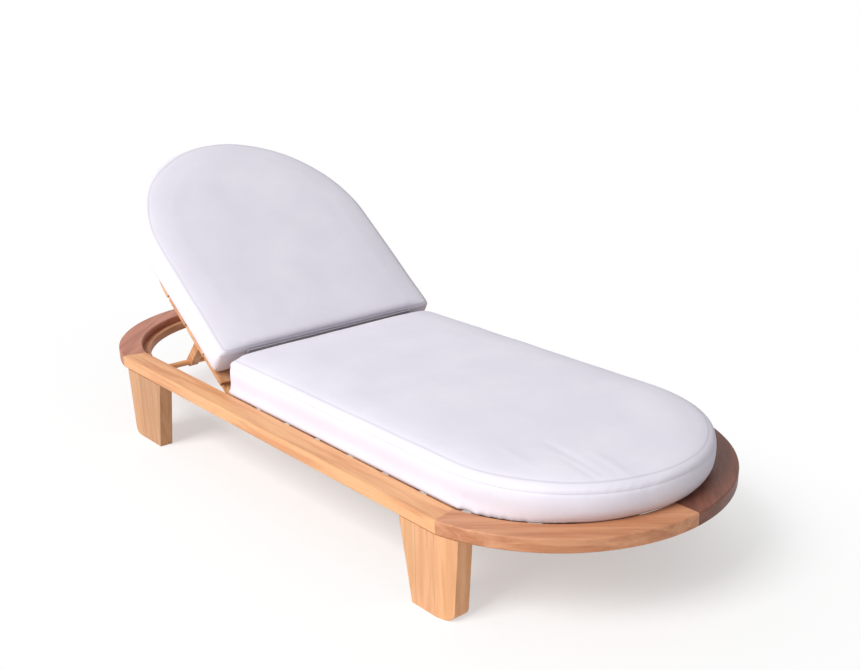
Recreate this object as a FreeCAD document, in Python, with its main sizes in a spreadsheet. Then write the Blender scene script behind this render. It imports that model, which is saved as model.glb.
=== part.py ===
import FreeCAD, Part
import os
import Sketcher

Vector = FreeCAD.Vector
Rotation = FreeCAD.Rotation

# Relaxation lounger: a low ring of beech on four board legs, a slatted bed inside the ring, a seat
# cushion, and a hinged back with its own cushion, held up by a prop whose crossbar runs in two racks.
# X points to the foot end, Y to the far side, Z up; the origin is on the floor under the middle.

doc = FreeCAD.newDocument("Lounger")

# Driving sizes, in millimetres and degrees
SIZES = [
    ("lounger_length", 2000, "over the ring, head to foot"),
    ("lounger_width", 820, "over the ring's straight sides"),
    ("ring_top", 220, "floor to the top of the ring"),
    ("ring_thickness", 32, "ring, top to underside"),
    ("ring_face", 63, "ring, outer to inner edge"),
    ("ring_easing", 2.5, "eased edges of the ring"),
    ("seam_kink", 12.3, "degrees the outline turns where a side rail meets a curved quarter"),
    ("leg_thickness", 35, "leg board"),
    ("foot_leg_inner", 113.8, "foot legs at the top, inner edge before the seam"),
    ("foot_leg_outer", 52.2, "foot legs at the top, outer edge past the seam"),
    ("head_leg_inner", 205.8, "head legs at the top, inner edge before the seam"),
    ("head_leg_outer", 22.8, "head legs at the top, outer edge before the seam"),
    ("leg_inner_taper", 36, "how far a leg's inner edge leans in at the floor"),
    ("leg_outer_taper", 10, "how far a leg's outer edge leans in at the floor"),
    ("leg_corner", 22, "rounded outer corner at the floor"),
    ("slat_recess", 20, "ring top down to the slats' underside"),
    ("ledger_width", 20, "ledger strips inside the ring"),
    ("ledger_height", 20, "ledger strips, top to underside"),
    ("slat_thickness", 12, "bed slats"),
    ("seat_slat_gap", 37.75, "between two seat slats"),
    ("back_slat_gap", 11.92, "between two back slats"),
    ("slat_bearing", 8, "how far a slat lies on its ledger"),
    ("seat_slat_start", 36.4, "first seat slat, from the back pivot toward the foot"),
    ("seat_slat_finish", 319.6, "last seat slat, past the centre of the foot curve"),
    ("back_slat_start", 40, "first back slat, from the pivot"),
    ("back_slat_finish", 298, "last back slat, past the centre of the back frame's curve"),
    ("running_gap", 0.5, "between wooden faces that slide past each other"),
    ("pivot_reach", 421.362, "head seams to the back pivot"),
    ("back_angle", 37.1, "back frame above level, as shown"),
    ("back_straight", 341.6, "back pivot to the start of the back frame's curve"),
    ("back_ledger_reach", 211.6, "back ledgers' head end, from the back pivot"),
    ("back_rail_width", 45, "back frame rails"),
    ("back_rail_depth", 22, "back frame rails, front to rear"),
    ("back_rail_tail", 30, "back rails past the pivot"),
    ("back_rail_corner", 8.8, "rounded lower corner of a back rail's tail"),
    ("back_clearance", 7, "back frame to the ledgers when it lies flat"),
    ("back_rest_gap", 0.1, "back slats above the ledgers when the back lies flat"),
    ("cross_rail_start", 16, "lower cross rail, from the pivot"),
    ("pivot_block_half", 22, "pivot block, half its length"),
    ("pivot_block_height", 32, "pivot block, top to underside"),
    ("pivot_bolt_radius", 5, "pivot bolt shank"),
    ("bolt_head_share", 1.7, "bolt head radius over shank radius"),
    ("bolt_head_height", 6, "bolt heads"),
    ("bolt_end_gap", 4, "wood left beyond the end of a bolt"),
    ("pin_clearance", 0.05, "round a pin in a turning part"),
    ("prop_run", 250, "prop pivot from the back pivot, along the back"),
    ("prop_drop", 4, "prop pivot below the middle of the back rail"),
    ("prop_length", 195.8, "prop pivot to crossbar"),
    ("prop_lean", 48.5, "prop above level, as shown"),
    ("prop_rate", 1.109, "degrees the prop turns over the floor for one of the back"),
    ("prop_thickness", 24, "prop arm board"),
    ("prop_half_depth", 12, "prop arm, half its depth"),
    ("prop_bolt_radius", 4, "prop pivot bolt shank"),
    ("spacer_length", 15, "spacer between a back rail and its prop arm"),
    ("spacer_radius", 11, "spacer, outside"),
    ("crossbar_radius", 8, "prop crossbar"),
    ("crossbar_end_gap", 7, "each end of the crossbar to the ring"),
    ("rack_height", 49.5, "racks, top to underside"),
    ("rack_top_gap", 0.5, "racks below the slats"),
    ("rack_ledger_gap", 15, "racks' head end to the curved ledgers"),
    ("rack_clearance", 0.6, "crossbar above the rack's teeth"),
    ("notch_step", 7.5, "degrees of the back between two notches"),
    ("notch_slope", 0.83, "degrees of the back over half of a notch's sloping side"),
    ("notch_depth", 6, "rack notches"),
    ("seat_side_gap", 7.6, "seat cushion at its widest to the ring's straight sides"),
    ("seat_foot_gap", 1, "seat cushion's base to the ring at the foot"),
    ("seat_cushion_start", 19.4, "seat cushion's end wall, from the back pivot toward the foot"),
    ("seat_cushion_height", 105, "seat cushion, slats to the top of the crown"),
    ("back_overhang", 31.8, "back cushion at its widest beyond the back frame"),
    ("back_cushion_start", 66.1, "back cushion's lower end, from the pivot, as shown"),
    ("back_cushion_spare", 15.1, "back cushion longer than the frame and its overhang"),
    ("back_cushion_height", 101, "back cushion, slats to the top of the crown"),
    ("cushion_seat_gap", 0.3, "cushions above the slats"),
    ("strip_inset", 84, "fold strip's ends from the cushion's sides"),
    ("strip_thickness", 3, "fold strip"),
    ("strip_low", 66, "fold strip's lower edge above the slats"),
    ("strip_high", 84, "fold strip's upper edge above the slats"),
    ("cut_overrun", 5, "how far a cut runs past the wood"),
]
SEAT_SLATS = 9
BACK_SLATS = 6
NOTCHES = 4
REST_NOTCH = 2
# An edge counts as lying at a place when it is nearer to it than this share of its own length
NEAR_SHARE = 0.01
# Cushions, as shares of their half width: drawn in at the base, where they sink between the ring's
# inner edges, and swelling past the base at the curved end, above the ring
BASE_INSET_SHARE = 0.03
END_SWELL_SHARE = 0.039

# Places worked out from the sizes
PLACES = [
    ("half_width", "Sizes.lounger_width / 2"),
    ("end_stretch", "1 / cos(Sizes.seam_kink)"),
    ("end_slope", "tan(Sizes.seam_kink)"),
    ("arc_centre", "Sizes.lounger_length / 2 - half_width * end_stretch"),
    ("seam_x", "arc_centre + half_width * end_slope"),
    ("inner_half", "half_width - Sizes.ring_face"),
    ("ring_underside", "Sizes.ring_top - Sizes.ring_thickness"),
    ("quarter_sweep", "90 - Sizes.seam_kink"),
    ("slat_underside", "Sizes.ring_top - Sizes.slat_recess"),
    ("bed_top", "slat_underside + Sizes.slat_thickness"),
    ("ledger_inner", "inner_half - Sizes.ledger_width"),
    ("ledger_underside", "slat_underside - Sizes.ledger_height"),
    ("slat_half", "ledger_inner + Sizes.slat_bearing"),
    ("rack_top", "slat_underside - Sizes.rack_top_gap"),
    ("rack_underside", "rack_top - Sizes.rack_height"),
    ("pivot_height", "slat_underside + Sizes.back_rest_gap - Sizes.back_rail_depth / 2"),
    ("back_half", "ledger_inner - Sizes.back_clearance"),
    ("back_inner", "back_half - Sizes.back_rail_width"),
    ("pivot_run", "seam_x - Sizes.pivot_reach"),
    ("block_inner", "back_half + Sizes.running_gap"),
    ("arm_outer", "back_inner - Sizes.spacer_length"),
    ("arm_inner", "arm_outer - Sizes.prop_thickness"),
    ("seat_ledger_head_x", "Sizes.pivot_block_half + Sizes.running_gap - pivot_run"),
    ("back_ledger_foot_x", "-Sizes.pivot_block_half - Sizes.running_gap - pivot_run"),
    ("back_ledger_head_x", "-Sizes.back_ledger_reach - pivot_run"),
    ("seat_slat_x", "Sizes.seat_slat_start - pivot_run"),
    ("seat_slat_span", "arc_centre + Sizes.seat_slat_finish - seat_slat_x"),
    ("back_slat_span", "Sizes.back_straight + Sizes.back_slat_finish - Sizes.back_slat_start"),
    ("prop_x", "-pivot_run - Sizes.prop_run * cos(Sizes.back_angle)"
               " - Sizes.prop_drop * sin(Sizes.back_angle)"),
    ("prop_z", "pivot_height + Sizes.prop_run * sin(Sizes.back_angle)"
               " - Sizes.prop_drop * cos(Sizes.back_angle)"),
    ("crossbar_x", "prop_x - Sizes.prop_length * cos(Sizes.prop_lean)"),
    ("crossbar_z", "prop_z - Sizes.prop_length * sin(Sizes.prop_lean)"),
    ("crossbar_half", "inner_half - Sizes.crossbar_end_gap"),
    ("seat_half_width", "inner_half - Sizes.seat_side_gap"),
    ("seat_curve_centre", "arc_centre + inner_half * end_stretch - Sizes.seat_foot_gap"
                          f" - seat_half_width * {1 - BASE_INSET_SHARE}"),
    ("back_half_width", "back_half + Sizes.back_overhang"),
    ("back_cushion_length", "Sizes.back_straight + back_half_width + Sizes.back_cushion_spare"),
    ("strip_half_width", "back_half_width - Sizes.strip_inset"),
]
for bed, count in (("seat", SEAT_SLATS), ("back", BACK_SLATS)):
    PLACES.append((f"{bed}_pitch", f"({bed}_slat_span + Sizes.{bed}_slat_gap) / {count}"))
    PLACES.append((f"{bed}_slat_width", f"{bed}_pitch - Sizes.{bed}_slat_gap"))
for step in range(NOTCHES * 2 + 1):
    # Odd steps are notches, even steps the teeth on either side
    angle = f"Sizes.back_angle + ({step} - {REST_NOTCH * 2 + 1}) * Sizes.notch_step / 2"
    for edge, shift in (("a", "-"), ("b", "+")):
        name = f"tooth{step}{edge}"
        PLACES.append((name + "_angle", f"{angle} {shift} Sizes.notch_slope"))
        lean = f"(Sizes.prop_lean + Sizes.prop_rate * ({name}_angle - Sizes.back_angle))"
        PLACES.append((name + "_x", f"-pivot_run - Sizes.prop_run * cos({name}_angle)"
                                    f" - Sizes.prop_drop * sin({name}_angle)"
                                    f" - Sizes.prop_length * cos({lean})"))
        PLACES.append((name + "_z", f"pivot_height + Sizes.prop_run * sin({name}_angle)"
                                    f" - Sizes.prop_drop * cos({name}_angle)"
                                    f" - Sizes.prop_length * sin({lean})"
                                    f" - Sizes.crossbar_radius - Sizes.rack_clearance"))
PLACES.append(("head_ledger_start",
               "asin((Sizes.rack_ledger_gap - tooth0a_x - arc_centre) / (ledger_inner * end_stretch))"
               " / 1 deg"))


def fill_sheet(label, rows):
    sheet = doc.addObject("Spreadsheet::Sheet", label)
    for row, (name, content, note) in enumerate(rows, start=1):
        sheet.set(f"A{row}", name)
        sheet.set(f"B{row}", content)
        sheet.setAlias(f"B{row}", name)
        sheet.set(f"C{row}", note)
    doc.recompute()
    return sheet


sizes = fill_sheet("Sizes", [(name, str(value), note) for name, value, note in SIZES])
places = fill_sheet("Places", [(name, "=" + formula, "") for name, formula in PLACES])


def value(formula):
    return float(places.evalExpression(formula))


PARTS = {}


def new_body(label):
    body = doc.addObject("PartDesign::Body", label)
    body.Label = label
    PARTS[label] = body
    return body


def origin_plane(body, role):
    return next(item for item in body.Origin.OriginFeatures if item.Role == role)


def pin_point(sketch, geometry, end, x, y):
    """Hold one point of the sketch at a place given by two formulas."""
    for kind, formula in (("DistanceX", x), ("DistanceY", y)):
        at = sketch.addConstraint(Sketcher.Constraint(kind, -1, 1, geometry, end, value(formula)))
        sketch.setExpression(f"Constraints[{at}]", formula)


def new_sketch(body, name, role, lift="0"):
    sketch = body.newObject("Sketcher::SketchObject", name)
    sketch.AttachmentSupport = (origin_plane(body, role), [""])
    sketch.MapMode = "FlatFace"
    if lift != "0":
        sketch.setExpression("AttachmentOffset.Base.z", lift)
    return sketch


def draw_outline(sketch, corners):
    """Closed outline from corners (x, y), or (x, y, centre x, centre y) where an arc leaves the corner."""
    points = [Vector(value(corner[0]), value(corner[1]), 0) for corner in corners]
    count = len(corners)
    start_of = {}
    finish_of = {}
    arcs = []
    for index, corner in enumerate(corners):
        here = points[index]
        there = points[(index + 1) % count]
        if len(corner) == 2:
            geometry = sketch.addGeometry(Part.LineSegment(here, there))
            start_of[index], finish_of[index] = (geometry, 1), (geometry, 2)
            continue
        centre = Vector(value(corner[2]), value(corner[3]), 0)
        circle = Part.Circle(centre, Vector(0, 0, 1), (here - centre).Length)
        forward = (here - centre).cross(there - centre).z > 0
        first, last = (here, there) if forward else (there, here)
        arc = Part.ArcOfCircle(circle, circle.parameter(first), circle.parameter(last))
        geometry = sketch.addGeometry(arc)
        start_of[index], finish_of[index] = (geometry, 1 if forward else 2), (geometry, 2 if forward else 1)
        arcs.append((geometry, corner, there - here))
    for index in range(count):
        after = (index + 1) % count
        sketch.addConstraint(Sketcher.Constraint("Coincident", *finish_of[index], *start_of[after]))
        pin_point(sketch, *start_of[index], corners[index][0], corners[index][1])
    for geometry, corner, chord in arcs:
        # The two ends leave the centre one way to go, along the chord's middle line
        across = abs(chord.y) >= abs(chord.x)
        kind, formula = ("DistanceX", corner[2]) if across else ("DistanceY", corner[3])
        at = sketch.addConstraint(Sketcher.Constraint(kind, -1, 1, geometry, 3, value(formula)))
        sketch.setExpression(f"Constraints[{at}]", formula)


def pad(body, corners, bottom, height, role="XY_Plane", both_ways=False):
    sketch = new_sketch(body, body.Label + "_outline", role, bottom)
    draw_outline(sketch, corners)
    feature = body.newObject("PartDesign::Pad", body.Label + "_pad")
    feature.Profile = sketch
    feature.setExpression("Length", height)
    if both_ways:
        feature.SideType = "Symmetric"
    sketch.Visibility = False
    doc.recompute()
    return feature


def cut_through(body, name, corners, length, role="XZ_Plane"):
    sketch = new_sketch(body, name + "_outline", role)
    for outline in corners:
        draw_outline(sketch, outline)
    return finish_cut(body, name, sketch, length)


def bore(body, name, centres, radius, length, role="XZ_Plane", lift="0"):
    sketch = new_sketch(body, name + "_circles", role, lift)
    for x, y in centres:
        circle = Part.Circle(Vector(value(x), value(y), 0), Vector(0, 0, 1), value(radius))
        geometry = sketch.addGeometry(circle)
        pin_point(sketch, geometry, 3, x, y)
        at = sketch.addConstraint(Sketcher.Constraint("Radius", geometry, value(radius)))
        sketch.setExpression(f"Constraints[{at}]", radius)
    return finish_cut(body, name, sketch, length)


def finish_cut(body, name, sketch, length):
    before = body.Shape.Volume
    feature = body.newObject("PartDesign::Pocket", name)
    feature.Profile = sketch
    feature.SideType = "Symmetric"
    feature.setExpression("Length", length)
    doc.recompute()
    if not body.Shape.Volume < before:
        raise RuntimeError(f"{name} cuts nothing from {body.Label}")
    return feature


def ease(body, size, chosen, feature_type="PartDesign::Fillet", size_name="Radius"):
    """Round or chamfer the edges that the test picks out by the edge and its middle point."""
    doc.recompute()
    base = body.Tip
    names = []
    for number, edge in enumerate(base.Shape.Edges, start=1):
        middle = edge.valueAt((edge.FirstParameter + edge.LastParameter) / 2)
        if chosen(edge, middle):
            names.append(f"Edge{number}")
    feature = body.newObject(feature_type, body.Label + "_easing")
    feature.Base = (base, names)
    feature.setExpression(size_name, size)
    doc.recompute()
    return feature


def place(item, x="0", y="0", z="0", turn=None, about=Vector(0, 1, 0)):
    """Bind the place to the sheet; the turn is a formula in degrees about one axis."""
    if turn is not None:
        item.Placement = FreeCAD.Placement(Vector(0, 0, 0), Rotation(about, value(turn)))
        item.setExpression("Placement.Rotation.Angle", turn)
    for axis, formula in (("x", x), ("y", y), ("z", z)):
        if formula != "0":
            item.setExpression(f"Placement.Base.{axis}", formula)


def place_on_back(item):
    """The back's pieces are drawn lying flat, with the pivot at the origin, then raised about it."""
    place(item, x="-Places.pivot_run", z="Places.pivot_height", turn="Sizes.back_angle")


# Ring: two straight side rails and four curved quarters. Every line along the ring, whatever its
# distance from the middle, turns at the seam by the same angle and goes on as an arc about one centre.
def corner_x(half):
    """Where a line that runs along the ring at this distance from the middle meets its arc."""
    return f"(Places.arc_centre + {half} * Places.end_slope)"


def side_rail(label, side):
    body = new_body(label)
    outer, inner = "Places.half_width", "Places.inner_half"
    pad(body, [
        (f"-{corner_x(outer)}", f"{side} * {outer}"),
        (corner_x(outer), f"{side} * {outer}"),
        (corner_x(inner), f"{side} * {inner}"),
        (f"-{corner_x(inner)}", f"{side} * {inner}"),
    ], "Places.ring_underside", "Sizes.ring_thickness")
    seam_length = value("Sizes.ring_face * Places.end_stretch")

    def along(edge, middle):
        return edge.Length > seam_length * (1 + NEAR_SHARE)
    ease(body, "Sizes.ring_easing", along, "PartDesign::Chamfer", "Size")
    return body


def curved_bar(label, centre_x, start, sweep, outer, inner, bottom, height, easing=None):
    """Part of a ring, its section turned about the upright axis at the middle of the curve."""
    body = new_body(label)
    sketch = new_sketch(body, label + "_section", "XZ_Plane")
    top = f"({bottom} + {height})"
    if easing is None:
        corners = [(inner, bottom), (outer, bottom), (outer, top), (inner, top)]
    else:
        corners = [
            (f"{inner} + {easing}", bottom),
            (f"{outer} - {easing}", bottom),
            (outer, f"{bottom} + {easing}"),
            (outer, f"{top} - {easing}"),
            (f"{outer} - {easing}", top),
            (f"{inner} + {easing}", top),
            (inner, f"{top} - {easing}"),
            (inner, f"{bottom} + {easing}"),
        ]
    draw_outline(sketch, corners)
    feature = body.newObject("PartDesign::Revolution", label + "_turn")
    feature.Profile = sketch
    feature.ReferenceAxis = (sketch, ["V_Axis"])
    feature.setExpression("Angle", sweep)
    doc.recompute()
    place(body, x=centre_x, turn=start, about=Vector(0, 0, 1))
    return body


side_rail("near_side_rail", -1)
side_rail("far_side_rail", 1)
QUARTERS = [
    ("foot_far", "Places.arc_centre", "0"),
    ("foot_near", "Places.arc_centre", "-Places.quarter_sweep"),
    ("head_far", "-Places.arc_centre", "90 + Sizes.seam_kink"),
    ("head_near", "-Places.arc_centre", "180"),
]
for where, centre_x, start in QUARTERS:
    curved_bar(where + "_ring_quarter", centre_x, start, "Places.quarter_sweep",
               "Places.half_width * Places.end_stretch", "Places.inner_half * Places.end_stretch",
               "Places.ring_underside", "Sizes.ring_thickness", "Sizes.ring_easing")


# Legs and racks: boards that follow the ring in plan and have their own side profile
def board_under_ring(label, end, side, outer, inner, near_x, far_x, bottom, height):
    """Board along the ring from near_x to far_x; where it passes the seam it turns with the ring."""
    body = new_body(label)
    centre = f"{end} * Places.arc_centre"
    corners = []
    for half, way in ((outer, 1), (inner, -1)):
        near = (f"{end} * {near_x}", f"{side} * {half}")
        if value(far_x) > value(corner_x(half)):
            reach = f"sqrt(({half} * Places.end_stretch) ^ 2 - ({far_x} - Places.arc_centre) ^ 2)"
            turn = (f"{end} * {corner_x(half)}", f"{side} * {half}")
            far = (f"{end} * {far_x}", f"{side} * {reach}")
            corners += [near, turn + (centre, "0"), far] if way > 0 else [far + (centre, "0"), turn, near]
        else:
            far = (f"{end} * {far_x}", f"{side} * {half}")
            corners += [near, far] if way > 0 else [far, near]
    pad(body, corners, bottom, height)
    return body


def leg(label, end, side, inner_x, outer_x):
    leg_inner = "(Places.half_width - Sizes.leg_thickness)"
    body = board_under_ring(label, end, side, "Places.half_width", leg_inner, inner_x, outer_x,
                            "0", "Places.ring_underside")
    tapers = []
    for x, taper in ((inner_x, "+ Sizes.leg_inner_taper"), (outer_x, "- Sizes.leg_outer_taper")):
        tapers.append([(f"{end} * {x}", "0"), (f"{end} * ({x} {taper})", "0"),
                       (f"{end} * {x}", "Places.ring_underside")])
    cut_through(body, label + "_tapers", tapers, "Sizes.lounger_width + Sizes.cut_overrun")
    toe_x = value(f"{end} * ({outer_x} - Sizes.leg_outer_taper)")

    def outer_corner(edge, middle):
        near = edge.Length * NEAR_SHARE
        return abs(middle.x - toe_x) < near and abs(middle.z) < near
    ease(body, "Sizes.leg_corner", outer_corner)
    return body


for side_name, side in (("near", -1), ("far", 1)):
    leg(f"foot_{side_name}_leg", 1, side, "(Places.seam_x - Sizes.foot_leg_inner)",
        "(Places.seam_x + Sizes.foot_leg_outer)")
    leg(f"head_{side_name}_leg", -1, side, "(Places.seam_x - Sizes.head_leg_inner)",
        "(Places.seam_x - Sizes.head_leg_outer)")


def rack(label, side):
    """Notched board inside the ring; the teeth lie just under the crossbar's own path."""
    near_x = f"(-Places.tooth{NOTCHES * 2}b_x)"
    far_x = "(-Places.tooth0a_x)"
    body = board_under_ring(label, -1, side, "Places.inner_half", "Places.ledger_inner", near_x, far_x,
                            "Places.rack_underside", "Sizes.rack_height")
    above = "(Places.rack_top + Sizes.cut_overrun)"
    profile = [(f"-{near_x}", above), (f"-{far_x}", above)]
    for step in range(NOTCHES * 2 + 1):
        depth = " - Sizes.notch_depth" if step % 2 else ""
        for edge in "ab":
            profile.append((f"Places.tooth{step}{edge}_x", f"Places.tooth{step}{edge}_z{depth}"))
    cut_through(body, label + "_notches", [profile], "Sizes.lounger_width")
    return body


rack("near_rack", -1)
rack("far_rack", 1)


# Ledgers: strips fixed to the ring's inner face, which carry the slats
def straight_ledger(label, side, head_x, foot_x):
    item = doc.addObject("Part::Box", label)
    item.Label = label
    PARTS[label] = item
    item.setExpression("Length", f"{foot_x} - {head_x}")
    item.setExpression("Width", "Sizes.ledger_width")
    item.setExpression("Height", "Sizes.ledger_height")
    place(item, x=head_x, y="Places.ledger_inner" if side > 0 else "-Places.inner_half",
          z="Places.ledger_underside")


for side_name, side in (("near", -1), ("far", 1)):
    straight_ledger(side_name + "_seat_ledger", side, "Places.seat_ledger_head_x",
                    corner_x("Places.ledger_inner"))
    straight_ledger(side_name + "_back_ledger", side, "Places.back_ledger_head_x",
                    "Places.back_ledger_foot_x")
LEDGER_QUARTERS = [
    ("foot_far", "Places.arc_centre", "0", "Places.quarter_sweep"),
    ("foot_near", "Places.arc_centre", "-Places.quarter_sweep", "Places.quarter_sweep"),
    ("head_far", "-Places.arc_centre", "90 + Places.head_ledger_start", "90 - Places.head_ledger_start"),
    ("head_near", "-Places.arc_centre", "180", "90 - Places.head_ledger_start"),
]
for where, centre_x, start, sweep in LEDGER_QUARTERS:
    curved_bar(where + "_ledger", centre_x, start, sweep, "Places.inner_half * Places.end_stretch",
               "Places.ledger_inner * Places.end_stretch", "Places.ledger_underside", "Sizes.ledger_height")


# Pivot blocks, which hold the bolts that the back turns on
def pivot_block(label, side):
    body = new_body(label)
    head_x = "-Places.pivot_run - Sizes.pivot_block_half"
    foot_x = "-Places.pivot_run + Sizes.pivot_block_half"
    outer = f"{side} * Places.inner_half"
    inner = f"{side} * Places.block_inner"
    pad(body, [(head_x, inner), (foot_x, inner), (foot_x, outer), (head_x, outer)],
        "Places.rack_top - Sizes.pivot_block_height", "Sizes.pivot_block_height")
    bore(body, label + "_bore", [("-Places.pivot_run", "Places.pivot_height")], "Sizes.pivot_bolt_radius",
         "Sizes.lounger_width")
    return body


pivot_block("near_pivot_block", -1)
pivot_block("far_pivot_block", 1)


# Slats: straight boards, sawn to the curve where they reach it
def bed_outline(label, start_x, turn_x, centre_x, tip_x, bottom):
    """Board-thick plate of the bed's plan, which the slats are cut from."""
    body = doc.addObject("PartDesign::Body", label)
    half = "Places.slat_half"
    corners = [
        (start_x, f"-{half}"),
        (turn_x, f"-{half}", centre_x, "0"),
        (tip_x, "0", centre_x, "0"),
        (turn_x, half),
        (start_x, half),
    ]
    pad(body, corners, bottom, "Sizes.slat_thickness")
    return body


def slats(prefix, count, plan, first_x, pitch, bottom, on_back):
    for number in range(count):
        label = f"{prefix}_slat_{number + 1}"
        board = doc.addObject("Part::Box", label + "_board")
        board.setExpression("Length", f"Places.{prefix}_slat_width")
        board.setExpression("Width", "Places.slat_half * 2")
        board.setExpression("Height", "Sizes.slat_thickness")
        place(board, x=f"{first_x} + {number} * {pitch}", y="-Places.slat_half", z=bottom)
        item = doc.addObject("Part::Common", label)
        item.Label = label
        item.Base = board
        item.Tool = plan
        PARTS[label] = item
        if on_back:
            place_on_back(item)


seat_plan = bed_outline("seat_plan", "Places.seat_slat_x", corner_x("Places.slat_half"),
                        "Places.arc_centre", "Places.arc_centre + Places.slat_half * Places.end_stretch",
                        "Places.slat_underside")
slats("seat", SEAT_SLATS, seat_plan, "Places.seat_slat_x", "Places.seat_pitch", "Places.slat_underside",
      False)
back_plan = bed_outline("back_plan", "-Sizes.back_slat_start", "-Sizes.back_straight",
                        "-Sizes.back_straight", "-Sizes.back_straight - Places.slat_half",
                        "Sizes.back_rail_depth / 2")
slats("back", BACK_SLATS, back_plan, "-Sizes.back_slat_start - Places.back_slat_width",
      "(-Places.back_pitch)", "Sizes.back_rail_depth / 2", True)


# Back frame: two side rails, two curved head rails and a cross rail, drawn flat about the pivot
def back_rail(label, side):
    body = new_body(label)
    corners = [
        ("-Sizes.back_straight", f"{side} * Places.back_inner"),
        ("Sizes.back_rail_tail", f"{side} * Places.back_inner"),
        ("Sizes.back_rail_tail", f"{side} * Places.back_half"),
        ("-Sizes.back_straight", f"{side} * Places.back_half"),
    ]
    pad(body, corners, "-Sizes.back_rail_depth / 2", "Sizes.back_rail_depth")
    bore(body, label + "_pivot_bore", [("0", "0")], "Sizes.pivot_bolt_radius + Sizes.pin_clearance",
         "Sizes.lounger_width")
    bore(body, label + "_prop_bore", [("-Sizes.prop_run", "-Sizes.prop_drop")], "Sizes.prop_bolt_radius",
         "(Places.back_half - Sizes.bolt_end_gap) * 2")
    tail_x = value("Sizes.back_rail_tail")

    def tail_corner(edge, middle):
        at_tail = abs(middle.x - tail_x) < edge.Length * NEAR_SHARE
        return at_tail and middle.z < 0 and edge.Length > tail_x
    ease(body, "Sizes.back_rail_corner", tail_corner)
    place_on_back(body)


def curved_head_rail(label, side):
    body = new_body(label)
    centre = "-Sizes.back_straight"
    pad(body, [
        (centre, f"{side} * Places.back_half", centre, "0"),
        (f"{centre} - Places.back_half", "0"),
        (f"{centre} - Places.back_inner", "0", centre, "0"),
        (centre, f"{side} * Places.back_inner"),
    ], "-Sizes.back_rail_depth / 2", "Sizes.back_rail_depth")
    place_on_back(body)


def cross_rail(label):
    body = new_body(label)
    lower = "-Sizes.cross_rail_start"
    upper = "(-Sizes.cross_rail_start - Sizes.back_rail_width)"
    pad(body, [(upper, "-Places.back_inner"), (lower, "-Places.back_inner"), (lower, "Places.back_inner"),
               (upper, "Places.back_inner")], "-Sizes.back_rail_depth / 2", "Sizes.back_rail_depth")
    place_on_back(body)


for side_name, side in (("near", -1), ("far", 1)):
    back_rail(side_name + "_back_rail", side)
    curved_head_rail(side_name + "_head_rail", side)
cross_rail("back_cross_rail")


# Prop: two arms and the crossbar between and beyond them, drawn about the prop's pivot
def prop_arm(label, side):
    body = new_body(label)
    tip = "-Sizes.prop_length"
    half = "Sizes.prop_half_depth"
    corners = [
        ("0", half),
        (tip, half, tip, "0"),
        (f"{tip} - {half}", "0", tip, "0"),
        (tip, f"-{half}"),
        ("0", f"-{half}", "0", "0"),
        (half, "0", "0", "0"),
    ]
    # The plane's upward side faces the near side of the lounger
    start = "Places.arm_inner" if side < 0 else "-Places.arm_outer"
    pad(body, corners, start, "Sizes.prop_thickness", role="XZ_Plane")
    bore(body, label + "_pivot_bore", [("0", "0")], "Sizes.prop_bolt_radius + Sizes.pin_clearance",
         "Sizes.lounger_width")
    bore(body, label + "_crossbar_bore", [(tip, "0")], "Sizes.crossbar_radius", "Sizes.lounger_width")
    place(body, x="Places.prop_x", z="Places.prop_z", turn="-Sizes.prop_lean")


prop_arm("near_prop_arm", -1)
prop_arm("far_prop_arm", 1)

crossbar = doc.addObject("Part::Cylinder", "prop_crossbar")
crossbar.Label = "prop_crossbar"
PARTS[crossbar.Label] = crossbar
crossbar.setExpression("Radius", "Sizes.crossbar_radius")
crossbar.setExpression("Height", "Places.crossbar_half * 2")
place(crossbar, x="Places.crossbar_x", y="Places.crossbar_half", z="Places.crossbar_z", turn="90",
      about=Vector(1, 0, 0))


# Bolts and spacers: one group of each, a piece on either side
def bolt(name, side, radius, head_y, tip_y, x, z):
    body = doc.addObject("PartDesign::Body", name)
    sketch = new_sketch(body, name + "_section", "XY_Plane")
    head_radius = f"{radius} * Sizes.bolt_head_share"
    length = f"({tip_y} - {head_y})"
    draw_outline(sketch, [
        ("0", "0"),
        (length, "0"),
        (length, radius),
        ("Sizes.bolt_head_height", radius),
        ("Sizes.bolt_head_height", head_radius),
        ("0", head_radius),
    ])
    feature = body.newObject("PartDesign::Revolution", name + "_turn")
    feature.Profile = sketch
    feature.ReferenceAxis = (sketch, ["H_Axis"])
    feature.Angle = 360
    doc.recompute()
    place(body, x=x, y=f"{side} * {head_y}", z=z, turn=f"{side} * 90", about=Vector(0, 0, 1))
    return body


def spacer(name, side):
    solids = []
    for radius, ending in (("Sizes.spacer_radius", "_outside"), ("Sizes.prop_bolt_radius", "_bore")):
        cylinder = doc.addObject("Part::Cylinder", name + ending)
        cylinder.setExpression("Radius", radius)
        cylinder.setExpression("Height", "Sizes.spacer_length - Sizes.running_gap")
        place(cylinder, x="Places.prop_x", y="Places.back_inner" if side > 0 else
              "-Places.arm_outer - Sizes.running_gap", z="Places.prop_z", turn="90", about=Vector(1, 0, 0))
        solids.append(cylinder)
    item = doc.addObject("Part::Cut", name)
    item.Base, item.Tool = solids
    return item


def group(label, members):
    item = doc.addObject("Part::Compound", label)
    item.Label = label
    item.Links = members
    PARTS[label] = item


def bolt_pair(label, radius, head_side, tip_side, x, z):
    """A bolt on either side, its head past head_side and its tip a little short of tip_side."""
    head_y = f"({head_side} - Sizes.running_gap - Sizes.bolt_head_height)"
    tip_y = f"({tip_side} - Sizes.bolt_end_gap)"
    group(label, [bolt(f"{name}_{label}", side, radius, head_y, tip_y, x, z)
                  for name, side in (("near", -1), ("far", 1))])


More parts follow.
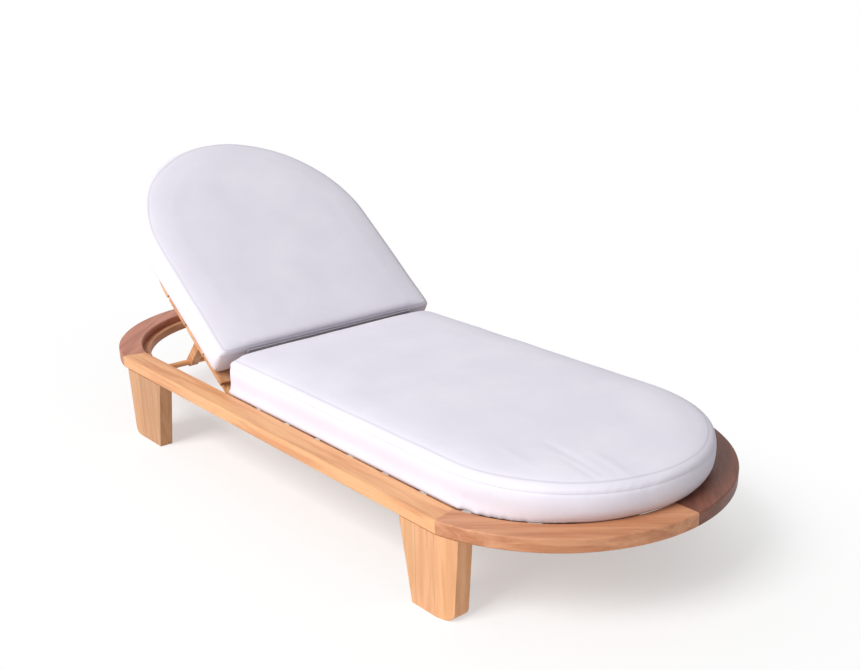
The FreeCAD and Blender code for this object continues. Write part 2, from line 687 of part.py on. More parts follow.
bolt_pair("pivot_bolts", "Sizes.pivot_bolt_radius", "Places.back_inner", "Places.inner_half",
          "-Places.pivot_run", "Places.pivot_height")
bolt_pair("prop_bolts", "Sizes.prop_bolt_radius", "Places.arm_inner", "Places.back_half",
          "Places.prop_x", "Places.prop_z")
group("prop_spacers", [spacer("near_prop_spacer", -1), spacer("far_prop_spacer", 1)])

# Cushions: upholstered foam, full at the sides and crowned; one end square, the other round.
# Each row: height, inset of the sides and round end, inset of the square end, as shares of the
# cushion's height, half width and half width; and 1 where the round end swells past the base
CUSHION_SHARES = [
    (0.0, 0.045, 0.012, 0),
    (0.07, BASE_INSET_SHARE, 0.004, 0),
    (0.20, 0.012, 0.0, 1),
    (0.45, 0.004, 0.0, 1),
    (0.66, 0.0, 0.0, 1),
    (0.80, 0.015, 0.003, 1),
    (0.88, 0.041, 0.009, 1),
    (0.94, 0.13, 0.016, 1),
    (0.98, 0.24, 0.022, 1),
    (1.0, 0.42, 0.035, 1),
]


def cushion(label, start, centre, half_width, base, height):
    body = new_body(label)
    sketches = []
    for number, (rise, inset, end_inset, swells) in enumerate(CUSHION_SHARES):
        half = f"{half_width} * {1 - inset}"
        wall = f"{start} + {half_width} * {end_inset}"
        middle = f"({centre} + {half_width} * {END_SWELL_SHARE * swells})"
        sketch = new_sketch(body, f"{label}_section_{number}", "XY_Plane", f"{base} + {height} * {rise}")
        draw_outline(sketch, [
            (wall, f"-{half}"),
            (middle, f"-{half}", middle, "0"),
            (f"{middle} + {half}", "0", middle, "0"),
            (middle, half),
            (wall, half),
        ])
        sketches.append(sketch)
    loft = body.newObject("PartDesign::AdditiveLoft", label + "_loft")
    loft.Profile = sketches[0]
    loft.Sections = sketches[1:]
    loft.Ruled = True
    doc.recompute()
    return body


cushion("seat_cushion", "(Sizes.seat_cushion_start - Places.pivot_run)", "Places.seat_curve_centre",
        "Places.seat_half_width", "(Places.bed_top + Sizes.cushion_seat_gap)", "Sizes.seat_cushion_height")
back_cushion = cushion("back_cushion", "Sizes.back_cushion_start",
                       "(Sizes.back_cushion_start + Places.back_cushion_length - Places.back_half_width)",
                       "Places.back_half_width",
                       "(Sizes.back_rail_depth / 2 + Sizes.slat_thickness + Sizes.cushion_seat_gap)",
                       "Sizes.back_cushion_height")
# The back cushion is drawn with its round end forward, so it is turned round before it is raised
place(back_cushion, x="-Places.pivot_run", z="Places.pivot_height")
back_cushion.Placement.Rotation = (Rotation(Vector(0, 1, 0), value("Sizes.back_angle"))
                                   * Rotation(Vector(0, 0, 1), 180))

# Fold strip: the cloth that joins the two cushions along the fold
fold_strip = doc.addObject("Part::Box", "fold_strip")
fold_strip.Label = "fold_strip"
PARTS[fold_strip.Label] = fold_strip
fold_strip.setExpression("Length", "Sizes.strip_thickness")
fold_strip.setExpression("Width", "Places.strip_half_width * 2")
fold_strip.setExpression("Height", "Sizes.strip_high - Sizes.strip_low")
place_on_back(fold_strip)
strip_x = "(Sizes.cushion_seat_gap - Sizes.back_cushion_start)"
strip_z = "(Places.bed_top - Places.pivot_height + Sizes.strip_low)"
fold_strip.setExpression("Placement.Base.x", f"-Places.pivot_run + {strip_x} * cos(Sizes.back_angle)"
                                             f" + {strip_z} * sin(Sizes.back_angle)")
fold_strip.setExpression("Placement.Base.y", "-Places.strip_half_width")
fold_strip.setExpression("Placement.Base.z", f"Places.pivot_height - {strip_x} * sin(Sizes.back_angle)"
                                             f" + {strip_z} * cos(Sizes.back_angle)")

# Check and write every piece
doc.recompute()
for item in doc.Objects:
    if "Invalid" in item.State or "Error" in item.State:
        raise RuntimeError(f"{item.Label} failed: {item.State}")
os.makedirs("parts", exist_ok=True)
for label, item in PARTS.items():
    shape = item.Shape
    if shape.isNull() or not shape.isValid():
        raise RuntimeError(f"{label} has no valid shape")
    shape.exportStep(f"parts/{label}.step")
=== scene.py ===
import math

import bmesh
import bpy
from mathutils import Matrix, Vector, noise


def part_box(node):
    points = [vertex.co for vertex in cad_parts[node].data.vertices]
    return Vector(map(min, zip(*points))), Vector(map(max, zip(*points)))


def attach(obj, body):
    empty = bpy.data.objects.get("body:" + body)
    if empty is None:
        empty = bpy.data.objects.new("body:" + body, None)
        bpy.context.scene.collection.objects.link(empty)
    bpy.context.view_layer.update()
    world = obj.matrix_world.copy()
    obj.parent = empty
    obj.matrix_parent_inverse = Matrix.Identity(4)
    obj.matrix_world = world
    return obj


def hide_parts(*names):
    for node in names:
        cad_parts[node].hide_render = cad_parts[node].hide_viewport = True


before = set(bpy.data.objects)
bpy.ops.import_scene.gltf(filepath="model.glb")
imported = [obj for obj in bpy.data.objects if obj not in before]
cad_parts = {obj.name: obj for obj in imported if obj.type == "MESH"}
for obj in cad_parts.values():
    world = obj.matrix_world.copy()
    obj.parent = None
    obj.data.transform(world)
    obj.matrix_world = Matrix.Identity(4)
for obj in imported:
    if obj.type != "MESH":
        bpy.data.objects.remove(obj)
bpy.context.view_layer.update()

# Ring: two straight side rails and four curved quarters of an oiled hardwood, glued end to end. The
# grain runs straight through each board, so in a quarter it follows the chord of the curve.
CHORD_TURN = 48
RING_BOARDS = {
    # node: (grain turned about Z in degrees, plain colour, streak colour)
    "near_side_rail": (0, (0.79, 0.43, 0.21), (0.60, 0.26, 0.115)),
    "far_side_rail": (0, (0.76, 0.40, 0.19), (0.56, 0.23, 0.09)),
    "foot_near_ring_quarter": (CHORD_TURN, (0.64, 0.31, 0.165), (0.45, 0.175, 0.08)),
    # Painted shade: a somewhat darker board, darkened much further for the cushion's shadow on it
    "foot_far_ring_quarter": (-CHORD_TURN, (0.22, 0.075, 0.045), (0.14, 0.045, 0.025)),
    "head_near_ring_quarter": (-CHORD_TURN, (0.51, 0.21, 0.135), (0.36, 0.125, 0.075)),
    "head_far_ring_quarter": (CHORD_TURN, (0.57, 0.27, 0.19), (0.40, 0.155, 0.095)),
}
# Where in the plank the grain of each board is taken from: the first one, and the step to the next
RING_PLANK = (0.0, 0.37)
PLANK_DIRECTION = (1.0, 0.7, 0.4)
# Grain: width across it, width over length, detail, distortion, and the range of the noise it uses
FIGURE = (0.020, 0.07, 3.0, 0.6, 0.40, 0.66)
BANDS = (0.005, 0.03, 2.0, 0.0, 0.35, 0.75)
FIBRES = (0.0016, 0.03, 2.0, 0.0, 0.30, 0.75)
PORES = (0.0006, 0.045, 1.0, 0.0, 0.62, 0.72)
# How far each layer of grain covers the ones before: its pattern is read again in this range
BANDS_SHOWN = (-0.2, 1.6)
FIBRES_SHOWN = (0.0, 3.0)
PORES_SHOWN = (0.0, 2.2)
PORE_TONE = 0.72
OILED_ROUGHNESS = 0.46
POLISH_BELOW, POLISH_ABOVE = 0.05, 0.10
WOOD_SPECULAR = 0.35
EDGE_RADIUS = 0.0022
FIBRE_RELIEF, FIBRE_DEPTH = 0.25, 0.0004
# Sockets of a Mix node that mixes colours
FACTOR, FIRST, SECOND, MIXED = 0, 6, 7, 2


def fill_sockets(node, sockets):
    """Give a node's sockets their values; a socket that gets another node's output is linked to it."""
    for socket, value in sockets.items():
        if isinstance(value, bpy.types.NodeSocket):
            node.id_data.links.new(value, node.inputs[socket])
        else:
            node.inputs[socket].default_value = value


def add_node(tree, kind, sockets=None, **values):
    node = tree.nodes.new(kind)
    for key, value in values.items():
        setattr(node, key, value)
    fill_sockets(node, sockets or {})
    return node


def fresh_material(name):
    """A new material, with its node tree, its shader and the place on the object."""
    material = bpy.data.materials.new(name)
    material.use_nodes = True
    tree = material.node_tree
    place = add_node(tree, "ShaderNodeTexCoord")
    return material, tree, tree.nodes["Principled BSDF"], place.outputs["Object"]


def stretched_noise(tree, source, scale, detail, distortion=0.0):
    stretch = add_node(tree, "ShaderNodeMapping", {"Vector": source, "Scale": scale})
    texture = add_node(tree, "ShaderNodeTexNoise", {
        "Vector": stretch.outputs["Vector"], "Scale": 1, "Detail": detail, "Distortion": distortion,
    })
    return texture.outputs["Fac"]


def ranged(tree, source, low, high, to_low=0.0, to_high=1.0, kind="LINEAR"):
    """Read a value between low and high, and hand it on between to_low and to_high."""
    node = add_node(tree, "ShaderNodeMapRange", {
        "Value": source, "From Min": low, "From Max": high, "To Min": to_low, "To Max": to_high,
    }, interpolation_type=kind)
    return node.outputs["Result"]


def mixed(tree, factor, first, second, **values):
    sockets = {FACTOR: factor, FIRST: first, SECOND: second}
    return add_node(tree, "ShaderNodeMix", sockets, data_type="RGBA", **values).outputs[MIXED]


def hardwood(name, turn, plain, streak, shift, roughness=OILED_ROUGHNESS):
    """Oiled wood with its grain along local X after the turn: growth figure, fibres and fine pores."""
    material, tree, shader, place = fresh_material(name)
    board = add_node(tree, "ShaderNodeMapping", {
        "Vector": place, "Rotation": [math.radians(angle) for angle in turn],
        "Location": [shift * share for share in PLANK_DIRECTION],
    }, vector_type="TEXTURE").outputs["Vector"]

    def grain(width, slimness, detail, distortion, low, high):
        scale = (slimness / width, 1 / width, 1 / width)
        lines = stretched_noise(tree, board, scale, detail, distortion)
        return ranged(tree, lines, low, high, kind="SMOOTHSTEP")

    def shown(pattern, low, high):
        return ranged(tree, pattern, low, high, kind="SMOOTHSTEP")

    fibres = grain(*FIBRES)
    halfway = [(a + b) / 2 for a, b in zip(plain, streak)]
    pore = [channel * PORE_TONE for channel in streak]
    colour = mixed(tree, grain(*FIGURE), (*plain, 1), (*streak, 1))
    colour = mixed(tree, shown(grain(*BANDS), *BANDS_SHOWN), colour, (*halfway, 1))
    colour = mixed(tree, shown(fibres, *FIBRES_SHOWN), colour, (*streak, 1))
    colour = mixed(tree, shown(grain(*PORES), *PORES_SHOWN), colour, (*pore, 1))
    edge = add_node(tree, "ShaderNodeBevel", {"Radius": EDGE_RADIUS}, samples=4)
    relief = add_node(tree, "ShaderNodeBump", {
        "Strength": FIBRE_RELIEF, "Distance": FIBRE_DEPTH, "Height": fibres,
        "Normal": edge.outputs["Normal"],
    })
    fill_sockets(shader, {
        "Base Color": colour, "Specular IOR Level": WOOD_SPECULAR, "Normal": relief.outputs["Normal"],
        "Roughness": ranged(tree, fibres, 0, 1, roughness - POLISH_BELOW, roughness + POLISH_ABOVE),
    })
    return material


def finish_node(node, material):
    """Give a piece of the frame its material; its shape is right as it is."""
    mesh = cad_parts[node].data
    mesh.materials.clear()
    mesh.materials.append(material)


for number, (node, (turn, plain, streak)) in enumerate(RING_BOARDS.items()):
    shift = RING_PLANK[0] + RING_PLANK[1] * number
    finish_node(node, hardwood(node + "_wood", (0, 0, turn), plain, streak, shift))

# Legs: four tapered boards, each glued up from three staves with the grain upright and screwed to the
# rail from inside. The staves differ in colour, and a fine dark glue line shows between them.
LEG_STAVES = (
    # share of the leg's width from its outer edge, colour
    (0.0, (0.73, 0.41, 0.215)),
    (0.30, (0.71, 0.38, 0.20)),
    (0.66, (0.79, 0.43, 0.225)),
)
LEG_STREAK = (0.82, 0.74, 0.66)
GLUE_LINE_SHARE = 0.009
GLUE_TONE = 0.70
# Painted shade: the head legs are darkened for the weaker light at the head end
HEAD_LEG_PAINTED_SHADE = 0.76
LEG_PLANK = (1.3, 0.41)
LEG_NODES = ("foot_near_leg", "foot_far_leg", "head_near_leg", "head_far_leg")


def stave_colours(material, outer, inner):
    """Colour a leg's staves one by one from its outer edge to its inner one, with the glue between."""
    tree = material.node_tree
    shader = tree.nodes["Principled BSDF"]
    figured = shader.inputs["Base Color"].links[0].from_socket
    place = add_node(tree, "ShaderNodeTexCoord")
    axes = add_node(tree, "ShaderNodeSeparateXYZ", {"Vector": place.outputs["Object"]})
    across = ranged(tree, axes.outputs["X"], outer, inner)
    staves = add_node(tree, "ShaderNodeValToRGB", {"Fac": across})
    staves.color_ramp.interpolation = "CONSTANT"
    stops = staves.color_ramp.elements
    # A new ramp has two stops already
    for number, (start, colour) in enumerate(LEG_STAVES):
        stop = stops[number] if number < 2 else stops.new(start)
        stop.position = start
        stop.color = (*colour, 1)
    for start, colour in LEG_STAVES[1:]:
        line = stops.new(start - GLUE_LINE_SHARE)
        line.color = (*(channel * GLUE_TONE for channel in colour), 1)
    tint = mixed(tree, 1, figured, staves.outputs["Color"], blend_type="MULTIPLY")
    fill_sockets(shader, {"Base Color": tint})


for number, node in enumerate(LEG_NODES):
    at_head = node.startswith("head")
    # Painted shade darkens the head legs' wood; the foot legs keep theirs
    leg_painted_shade = HEAD_LEG_PAINTED_SHADE if at_head else 1
    streak = [share * leg_painted_shade for share in LEG_STREAK]
    shift = LEG_PLANK[0] + LEG_PLANK[1] * number
    wood = hardwood(node + "_wood", (0, 90, 0), (leg_painted_shade, leg_painted_shade, leg_painted_shade), streak, shift)
    leg_low, leg_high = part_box(node)
    stave_colours(wood, *((leg_high.x, leg_low.x) if at_head else (leg_low.x, leg_high.x)))
    finish_node(node, wood)

# Ledgers, racks and pivot blocks: strips screwed inside the ring that carry the slats, the two notched
# racks that the prop's crossbar drops into, and the blocks that hold the back's pivot bolts. All are of
# the same wood, a little darker and duller than the ring.
INNER_PLAIN, INNER_STREAK = (0.58, 0.30, 0.16), (0.42, 0.18, 0.09)
INNER_ROUGHNESS = 0.55
INNER_PLANK = (2.9, 0.23)
INNER_TURNS = {
    # node: grain turned about Z in degrees
    "near_seat_ledger": 0, "far_seat_ledger": 0, "near_back_ledger": 0, "far_back_ledger": 0,
    "foot_near_ledger": CHORD_TURN, "foot_far_ledger": -CHORD_TURN,
    "head_near_ledger": -CHORD_TURN, "head_far_ledger": CHORD_TURN,
    "near_rack": 0, "far_rack": 0, "near_pivot_block": 0, "far_pivot_block": 0,
}
for number, (node, turn) in enumerate(INNER_TURNS.items()):
    shift = INNER_PLANK[0] + INNER_PLANK[1] * number
    wood = hardwood(node + "_wood", (0, 0, turn), INNER_PLAIN, INNER_STREAK, shift, INNER_ROUGHNESS)
    finish_node(node, wood)

# Slats: thin boards laid across the bed and across the back frame, each from another plank, so that no
# two neighbours are alike in colour. Those of the back lean with it.
SLAT_COLOURS = (
    # plain, streak
    ((0.70, 0.39, 0.20), (0.52, 0.25, 0.12)),
    ((0.62, 0.31, 0.16), (0.46, 0.20, 0.10)),
    ((0.74, 0.43, 0.23), (0.58, 0.29, 0.14)),
)
SLAT_ROUGHNESS = 0.52
SLAT_PLANK = (5.1, 0.29)
BACK_LEAN = 37.1
slats = sorted(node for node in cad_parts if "_slat_" in node)
for number, node in enumerate(slats):
    plain, streak = SLAT_COLOURS[number * 2 % len(SLAT_COLOURS)]
    turn = (0, BACK_LEAN if node.startswith("back") else 0, 90)
    shift = SLAT_PLANK[0] + SLAT_PLANK[1] * number
    finish_node(node, hardwood(node + "_wood", turn, plain, streak, shift, SLAT_ROUGHNESS))

# Back frame and prop: two straight rails and two curved ones that carry the back slats, a cross rail at
# the pivot, and the two prop arms with the round crossbar between them, all of the ring's wood.
FRAME_PLAIN, FRAME_STREAK = (0.76, 0.42, 0.20), (0.58, 0.26, 0.12)
FRAME_PLANK = (9.7, 0.31)
PROP_LEAN = 48.5
FRAME_TURNS = {
    "near_back_rail": (0, BACK_LEAN, 0), "far_back_rail": (0, BACK_LEAN, 0),
    "near_head_rail": (0, BACK_LEAN, -CHORD_TURN), "far_head_rail": (0, BACK_LEAN, CHORD_TURN),
    "back_cross_rail": (0, 0, 90), "prop_crossbar": (0, 0, 90),
    "near_prop_arm": (0, PROP_LEAN, 0), "far_prop_arm": (0, PROP_LEAN, 0),
}
for number, (node, turn) in enumerate(FRAME_TURNS.items()):
    shift = FRAME_PLANK[0] + FRAME_PLANK[1] * number
    finish_node(node, hardwood(node + "_wood", turn, FRAME_PLAIN, FRAME_STREAK, shift))

# Bolts and spacers: the pivot bolts of the back, and the prop's bolts with their spacer sleeves. They
# are of stainless steel with domed heads, turned and brushed.
STEEL_NODES = ("pivot_bolts", "prop_bolts", "prop_spacers")
STEEL_DARK, STEEL_LIGHT = (0.46, 0.45, 0.44, 1), (0.60, 0.59, 0.58, 1)
STEEL_ROUGHNESS = (0.24, 0.44)
BRUSH_SCALE, BRUSH_DETAIL = (900, 60, 900), 2
steel, steel_tree, steel_shader, steel_place = fresh_material("brushed_steel")
brushing = stretched_noise(steel_tree, steel_place, BRUSH_SCALE, BRUSH_DETAIL)
fill_sockets(steel_shader, {
    "Metallic": 1, "Roughness": ranged(steel_tree, brushing, 0, 1, *STEEL_ROUGHNESS),
    "Base Color": mixed(steel_tree, brushing, STEEL_DARK, STEEL_LIGHT),
})
for node in STEEL_NODES:
    finish_node(node, steel)

# Cushions: firm boxed cushions of foam in an outdoor canvas cover. The top panel is sewn to a narrow
# band at the edge and that to the boxing below; both seams sink in a little, and the panels swell
# softly between them.
YARN_PITCH = 0.0011
# A yarn's thickness over the length of its slubs
SLUB_SHARE = 0.08
DYE_SCALE, DYE_DETAIL = (7, 7, 7), 3
YARN_RANGE, DYE_RANGE = (0.75, 1.25), (0.3, 0.7)
YARN_SHARE = 0.45
CANVAS = (0.795, 0.765, 0.840)
CANVAS_SHADE = (0.745, 0.715, 0.800)
CANVAS_ROUGHNESS, CANVAS_SPECULAR, CANVAS_SHEEN = 0.9, 0.2, 0.08
YARN_RELIEF, YARN_DEPTH = 0.35, 0.0003
CUSHIONS = (
    # node, body, lean about Y in degrees
    ("seat_cushion", "base", 0.0),
    ("back_cushion", "back_pad", BACK_LEAN),
)
MERGE = 0.0001
SHRINK = 0.002
VOXEL = 0.011
RELAXING = 3
# The most that a panel swells, and how finely the swelling varies over it
SWELL_LIMIT = 0.0022
SWELL_SCALE = 9.0
# Heights of the two seams round a cushion, as shares of its height
EDGE_SEAM, BAND_SEAM = 0.87, 0.70
SEAM_WIDTH = 0.0030
SEAM_DEPTH = 0.0011
# Painted shade along each seam: how far it reaches from the seam, how dark it gets, and its colour
SEAM_SHADE_REACH = 0.0016
SEAM_SHADE_STRENGTH = 0.32
SEAM_SHADE_COLOUR = (0.38, 0.36, 0.40, 1)
# The lowest tenth of the seat cushion spreads until it lies just inside the ring
BASE_SHARE = 0.1
BASE_CENTRE, RING_CENTRE = 0.6053, 0.5804
BASE_HALF, BASE_REACH = 0.3490, 0.3565
# Soft creases in the seat's top panel near the foot: from x, y to x, y, how deep and how wide
CREASES = (
    (0.700, -0.135, 0.872, -0.155, 0.0012, 0.010),
    (0.770, -0.165, 0.905, -0.178, 0.0009, 0.008),
    (0.795, -0.100, 0.925, -0.118, -0.0010, 0.011),
    (0.640, -0.215, 0.760, -0.232, -0.0007, 0.012),
)
# A crease is the middle part of half a wave, so that it ends soft but not at nothing
CREASE_FROM, CREASE_SPAN = 0.15, 0.7


def canvas(name, lean, seams=(), plain=CANVAS, shaded=CANVAS_SHADE):
    """Plain-woven canvas: slubbed yarns both ways, a faint unevenness of the dye, and painted shade along
    the seams.
    """
    material, tree, shader, place = fresh_material(name)
    flat = add_node(tree, "ShaderNodeMapping", {
        "Vector": place, "Rotation": (0, math.radians(lean), 0),
    }, vector_type="TEXTURE").outputs["Vector"]
    fine = 1 / YARN_PITCH
    warp = stretched_noise(tree, flat, (fine * SLUB_SHARE, fine, fine), 1)
    weft = stretched_noise(tree, flat, (fine, fine * SLUB_SHARE, fine * SLUB_SHARE), 1)
    yarns = add_node(tree, "ShaderNodeMath", {0: warp, 1: weft}, operation="ADD").outputs["Value"]
    dye = ranged(tree, stretched_noise(tree, flat, DYE_SCALE, DYE_DETAIL), *DYE_RANGE)
    depth = add_node(tree, "ShaderNodeMath", {
        0: ranged(tree, yarns, *YARN_RANGE), 1: YARN_SHARE, 2: dye,
    }, operation="MULTIPLY_ADD").outputs["Value"]
    colour = mixed(tree, depth, (*plain, 1), (*shaded, 1))
    axes = add_node(tree, "ShaderNodeSeparateXYZ", {"Vector": flat})
    # Painted shade: a dark line along each seam stands in for the shade in its groove
    for height in seams:
        apart = add_node(tree, "ShaderNodeMath", {0: axes.outputs["Z"], 1: height}, operation="SUBTRACT")
        distance = add_node(tree, "ShaderNodeMath", {0: apart.outputs["Value"]}, operation="ABSOLUTE")
        line = ranged(tree, distance.outputs["Value"], SEAM_SHADE_REACH, 0, 0, SEAM_SHADE_STRENGTH, "SMOOTHSTEP")
        colour = mixed(tree, line, colour, SEAM_SHADE_COLOUR)
    relief = add_node(tree, "ShaderNodeBump", {
        "Strength": YARN_RELIEF, "Distance": YARN_DEPTH, "Height": yarns,
    })
    fill_sockets(shader, {
        "Base Color": colour, "Roughness": CANVAS_ROUGHNESS, "Specular IOR Level": CANVAS_SPECULAR,
        "Sheen Weight": CANVAS_SHEEN, "Normal": relief.outputs["Normal"],
    })
    return material


def merged_copy(node):
    """A piece of the frame as a bmesh of its own, with its loose triangles joined."""
    solid = bmesh.new()
    solid.from_mesh(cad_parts[node].data)
    bmesh.ops.remove_doubles(solid, verts=solid.verts, dist=MERGE)
    return solid


def new_object(name, solid):
    """Put a bmesh in the scene as an object."""
    mesh = bpy.data.meshes.new(name)
    solid.to_mesh(mesh)
    solid.free()
    piece = bpy.data.objects.new(name, mesh)
    bpy.context.scene.collection.objects.link(piece)
    return piece


def apply_modifiers(piece):
    graph = bpy.context.evaluated_depsgraph_get()
    mesh = bpy.data.meshes.new_from_object(piece.evaluated_get(graph))
    piece.modifiers.clear()
    piece.data = mesh


def base_spread(point):
    """Move a point of the seat cushion's base out to where the base lies just inside the ring."""
    outward = Vector((max(0, point.x - BASE_CENTRE), point.y))
    turned = outward.x / outward.length
    reach = min(BASE_HALF, BASE_REACH - (BASE_CENTRE - RING_CENTRE) * turned)
    point.y = outward.y / outward.length * reach
    if turned > 0:
        point.x = BASE_CENTRE + turned * reach


def swelling(share, upward, place):
    """How far the foam pushes a panel out at one place: nothing at a seam, most between two."""
    if upward > 0.5:
        fullness = 1
    elif share > BAND_SEAM:
        fullness = math.sin(math.pi * min(1, (share - BAND_SEAM) / (EDGE_SEAM - BAND_SEAM)))
    else:
        fullness = math.sin(math.pi * share / BAND_SEAM)
    return SWELL_LIMIT * max(0, fullness) * (0.5 + 0.5 * noise.noise(place * SWELL_SCALE))


def crease_depth(x, y):
    """How far the creases press the seat's top panel down at one place."""
    depth = 0
    for start_x, start_y, end_x, end_y, deep, wide in CREASES:
        run = Vector((end_x - start_x, end_y - start_y))
        away = Vector((x - start_x, y - start_y))
        share = max(0, min(1, (away @ run) / run.length_squared))
        off = (away - run * share).length / wide
        depth += deep * math.exp(-off * off) * math.sin(math.pi * (CREASE_FROM + CREASE_SPAN * share))
    return depth


for node, body, lean in CUSHIONS:
    solid = merged_copy(node)
    upright = Matrix.Rotation(math.radians(-lean), 4, "Y")
    bmesh.ops.transform(solid, matrix=upright, verts=solid.verts)
    low = Vector([min(point.co[axis] for point in solid.verts) for axis in range(3)])
    high = Vector([max(point.co[axis] for point in solid.verts) for axis in range(3)])
    middle = (low + high) / 2
    height = high.z - low.z
    for point in solid.verts:
        if node == "seat_cushion" and point.co.z < low.z + height * BASE_SHARE:
            base_spread(point.co)
        for axis in range(3):
            half = (high[axis] - low[axis]) / 2
            point.co[axis] = middle[axis] + (point.co[axis] - middle[axis]) * (half - SHRINK) / half
    cover = new_object(node + "_cover", solid)
    remesh = cover.modifiers.new("panels", "REMESH")
    remesh.mode = "VOXEL"
    remesh.voxel_size = VOXEL
    apply_modifiers(cover)
    relaxing = cover.modifiers.new("relaxing", "SMOOTH")
    relaxing.iterations = RELAXING
    rounding = cover.modifiers.new("rounding", "SUBSURF")
    rounding.levels = 2
    apply_modifiers(cover)
    panels = cover.data
    seams = [low.z + height * share for share in (EDGE_SEAM, BAND_SEAM)]
    # All normals are read before the first point moves, because each move makes Blender work them out anew
    normals = [point.normal.copy() for point in panels.vertices]
    for point, normal in zip(panels.vertices, normals):
        sunk = sum(math.exp(-((point.co.z - seam) / SEAM_WIDTH) ** 2) for seam in seams)
        upward = abs(normal.z)
        out = swelling((point.co.z - low.z) / height, upward, point.co)
        shift = normal * (out - SEAM_DEPTH * sunk * (1 - upward))
        if node == "seat_cushion" and point.co.z > seams[0]:
            shift.z -= crease_depth(point.co.x, point.co.y)
        point.co += shift
    panels.transform(upright.inverted())
    panels.polygons.foreach_set("use_smooth", [True] * len(panels.polygons))
    panels.materials.clear()
    panels.materials.append(canvas(node + "_canvas", lean, seams))
    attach(cover, body)
    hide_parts(node)

# Fold strip: a flat strip of canvas, sewn to both cushions along the fold, on which one hinges
# against the other. Its canvas is coloured dark grey as painted shade for the deep fold between the
# cushions. Its edges are turned under, so they are a little round.
STRIP_PAINTED_SHADE = (0.46, 0.44, 0.48)
STRIP_PAINTED_SHADE_DARKER = (0.40, 0.38, 0.42)
TURNED_EDGE = 0.0009
strip_solid = merged_copy("fold_strip")
bmesh.ops.bevel(strip_solid, geom=strip_solid.edges[:], offset=TURNED_EDGE, offset_type="OFFSET",
                segments=3, profile=0.5, affect="EDGES", material=-1)
strip = new_object("fold_webbing", strip_solid)
# The strip's canvas takes the painted shade colours
strip.data.materials.append(canvas("fold_strip_canvas", BACK_LEAN, (), STRIP_PAINTED_SHADE, STRIP_PAINTED_SHADE_DARKER))
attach(strip, "back_pad")
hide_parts("fold_strip")

# Studio: a plain white floor that fades into a white surround, with one large soft lamp on the near
# side and an even sky. Both stay at a plain level, at which a colour renders about as it is written.
WHITE = (1, 1, 1, 1)
FLOOR_COLOUR = (0.95, 0.95, 0.95, 1)
FLOOR_ROUGHNESS = 0.9
FLOOR_HALF = 30
FADE_START = 0.28
FADE_END = 0.95
FLOOR_LIFT = 0.45
# The fade follows the lounger's long outline
FADE_STRETCH = (0.45, 1, 1)
SKY_STRENGTH = 0.36
LAMP_TOWARDS = Vector((0.0, -0.72, 0.69))
LAMP_DISTANCE = 12
LAMP_SIZE = 6.4
LAMP_POWER = 1420


def seen_directly(tree):
    """1 on the rays that show a surface itself, to the camera or in a reflection; 0 on those that light."""
    path = add_node(tree, "ShaderNodeLightPath")
    seen = path.outputs["Is Camera Ray"]
    for ray in ("Is Glossy Ray", "Is Transmission Ray"):
        either = add_node(tree, "ShaderNodeMath", {0: seen, 1: path.outputs[ray]}, operation="MAXIMUM")
        seen = either.outputs["Value"]
    return seen


def blended(tree, factor, first, second, target):
    mix = add_node(tree, "ShaderNodeMixShader", {0: factor, 1: first, 2: second})
    fill_sockets(tree.nodes[target], {"Surface": mix.outputs[0]})


floor_grid = bmesh.new()
bmesh.ops.create_grid(floor_grid, x_segments=1, y_segments=1, size=FLOOR_HALF)
floor = new_object("studio_floor", floor_grid)
floor_paint, floor_tree, floor_shader, floor_place = fresh_material("floor_paint")
fill_sockets(floor_shader, {"Base Color": FLOOR_COLOUR, "Roughness": FLOOR_ROUGHNESS})
floor_plan = add_node(floor_tree, "ShaderNodeMapping", {"Vector": floor_place, "Scale": FADE_STRETCH})
floor_distance = add_node(floor_tree, "ShaderNodeVectorMath", {0: floor_plan.outputs["Vector"]},
                          operation="LENGTH")
floor_fade = ranged(floor_tree, floor_distance.outputs["Value"], FADE_START, FADE_END, FLOOR_LIFT,
                    kind="SMOOTHSTEP")
floor_white = add_node(floor_tree, "ShaderNodeMath", {0: floor_fade, 1: seen_directly(floor_tree)},
                       operation="MULTIPLY")
floor_glow = add_node(floor_tree, "ShaderNodeEmission")
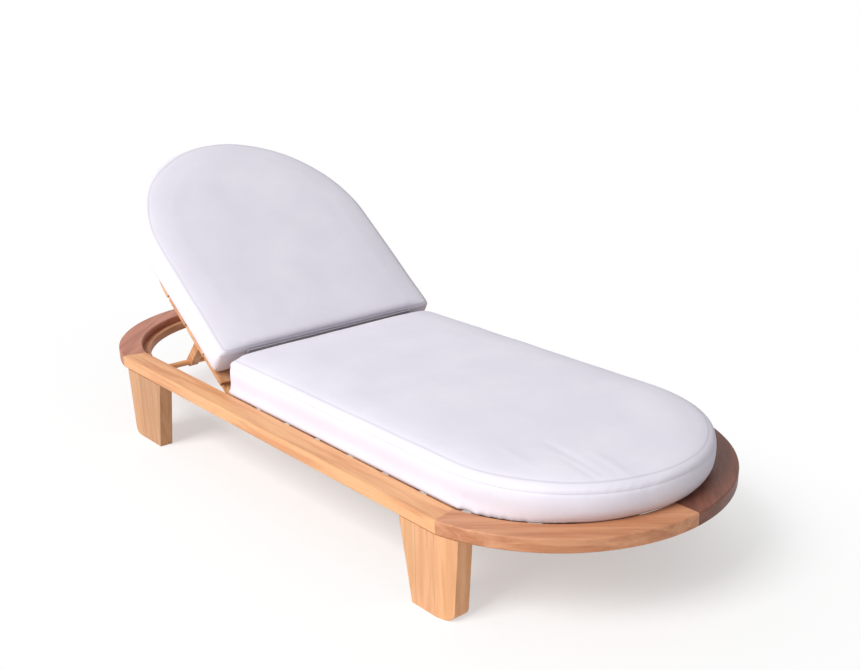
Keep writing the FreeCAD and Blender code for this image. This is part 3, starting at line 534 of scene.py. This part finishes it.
blended(floor_tree, floor_white.outputs["Value"], floor_shader.outputs["BSDF"],
        floor_glow.outputs["Emission"], "Material Output")
floor.data.materials.append(floor_paint)

world = bpy.data.worlds.new("studio_air")
bpy.context.scene.world = world
world.use_nodes = True
air_tree = world.node_tree
sky = air_tree.nodes["Background"]
fill_sockets(sky, {"Color": WHITE, "Strength": SKY_STRENGTH})
white_sky = add_node(air_tree, "ShaderNodeBackground", {"Color": WHITE})
blended(air_tree, seen_directly(air_tree), sky.outputs["Background"],
        white_sky.outputs["Background"], "World Output")
lamp = bpy.data.lights.new("near_softbox", "AREA")
lamp.size = LAMP_SIZE
lamp.energy = LAMP_POWER
softbox = bpy.data.objects.new("near_softbox", lamp)
softbox.location = LAMP_TOWARDS.normalized() * LAMP_DISTANCE
softbox.rotation_euler = (-LAMP_TOWARDS).to_track_quat("-Z", "Y").to_euler()
bpy.context.scene.collection.objects.link(softbox)

# Camera: it stands where the photo was taken from, found by fitting the ring's top edge, underside and
# inner edge to their outlines in the photo's frame of 860 by 670.
CAMERA_PLACE = Vector((2.1616, -1.6561, 1.2315))
CAMERA_AZIMUTH = 47.4531
CAMERA_ELEVATION = 21.7696
CAMERA_SENSOR, CAMERA_LENS = 36, 46.53
CAMERA_SHIFT = (-0.0594, 0.0858)
azimuth = math.radians(CAMERA_AZIMUTH)
elevation = math.radians(CAMERA_ELEVATION)
backward = Vector((math.sin(azimuth) * math.cos(elevation), -math.cos(azimuth) * math.cos(elevation),
                   math.sin(elevation)))
sideways = Vector((math.cos(azimuth), math.sin(azimuth), 0))
camera_data = bpy.data.cameras.new("photo_camera")
camera_data.sensor_width = CAMERA_SENSOR
camera_data.lens = CAMERA_LENS
camera_data.shift_x, camera_data.shift_y = CAMERA_SHIFT
camera = bpy.data.objects.new("photo_camera", camera_data)
bpy.context.scene.collection.objects.link(camera)
aim = Matrix((sideways, backward.cross(sideways), backward)).transposed().to_4x4()
camera.matrix_world = Matrix.Translation(CAMERA_PLACE) @ aim
bpy.context.scene.camera = camera
bpy.context.scene.view_settings.view_transform = "Standard"
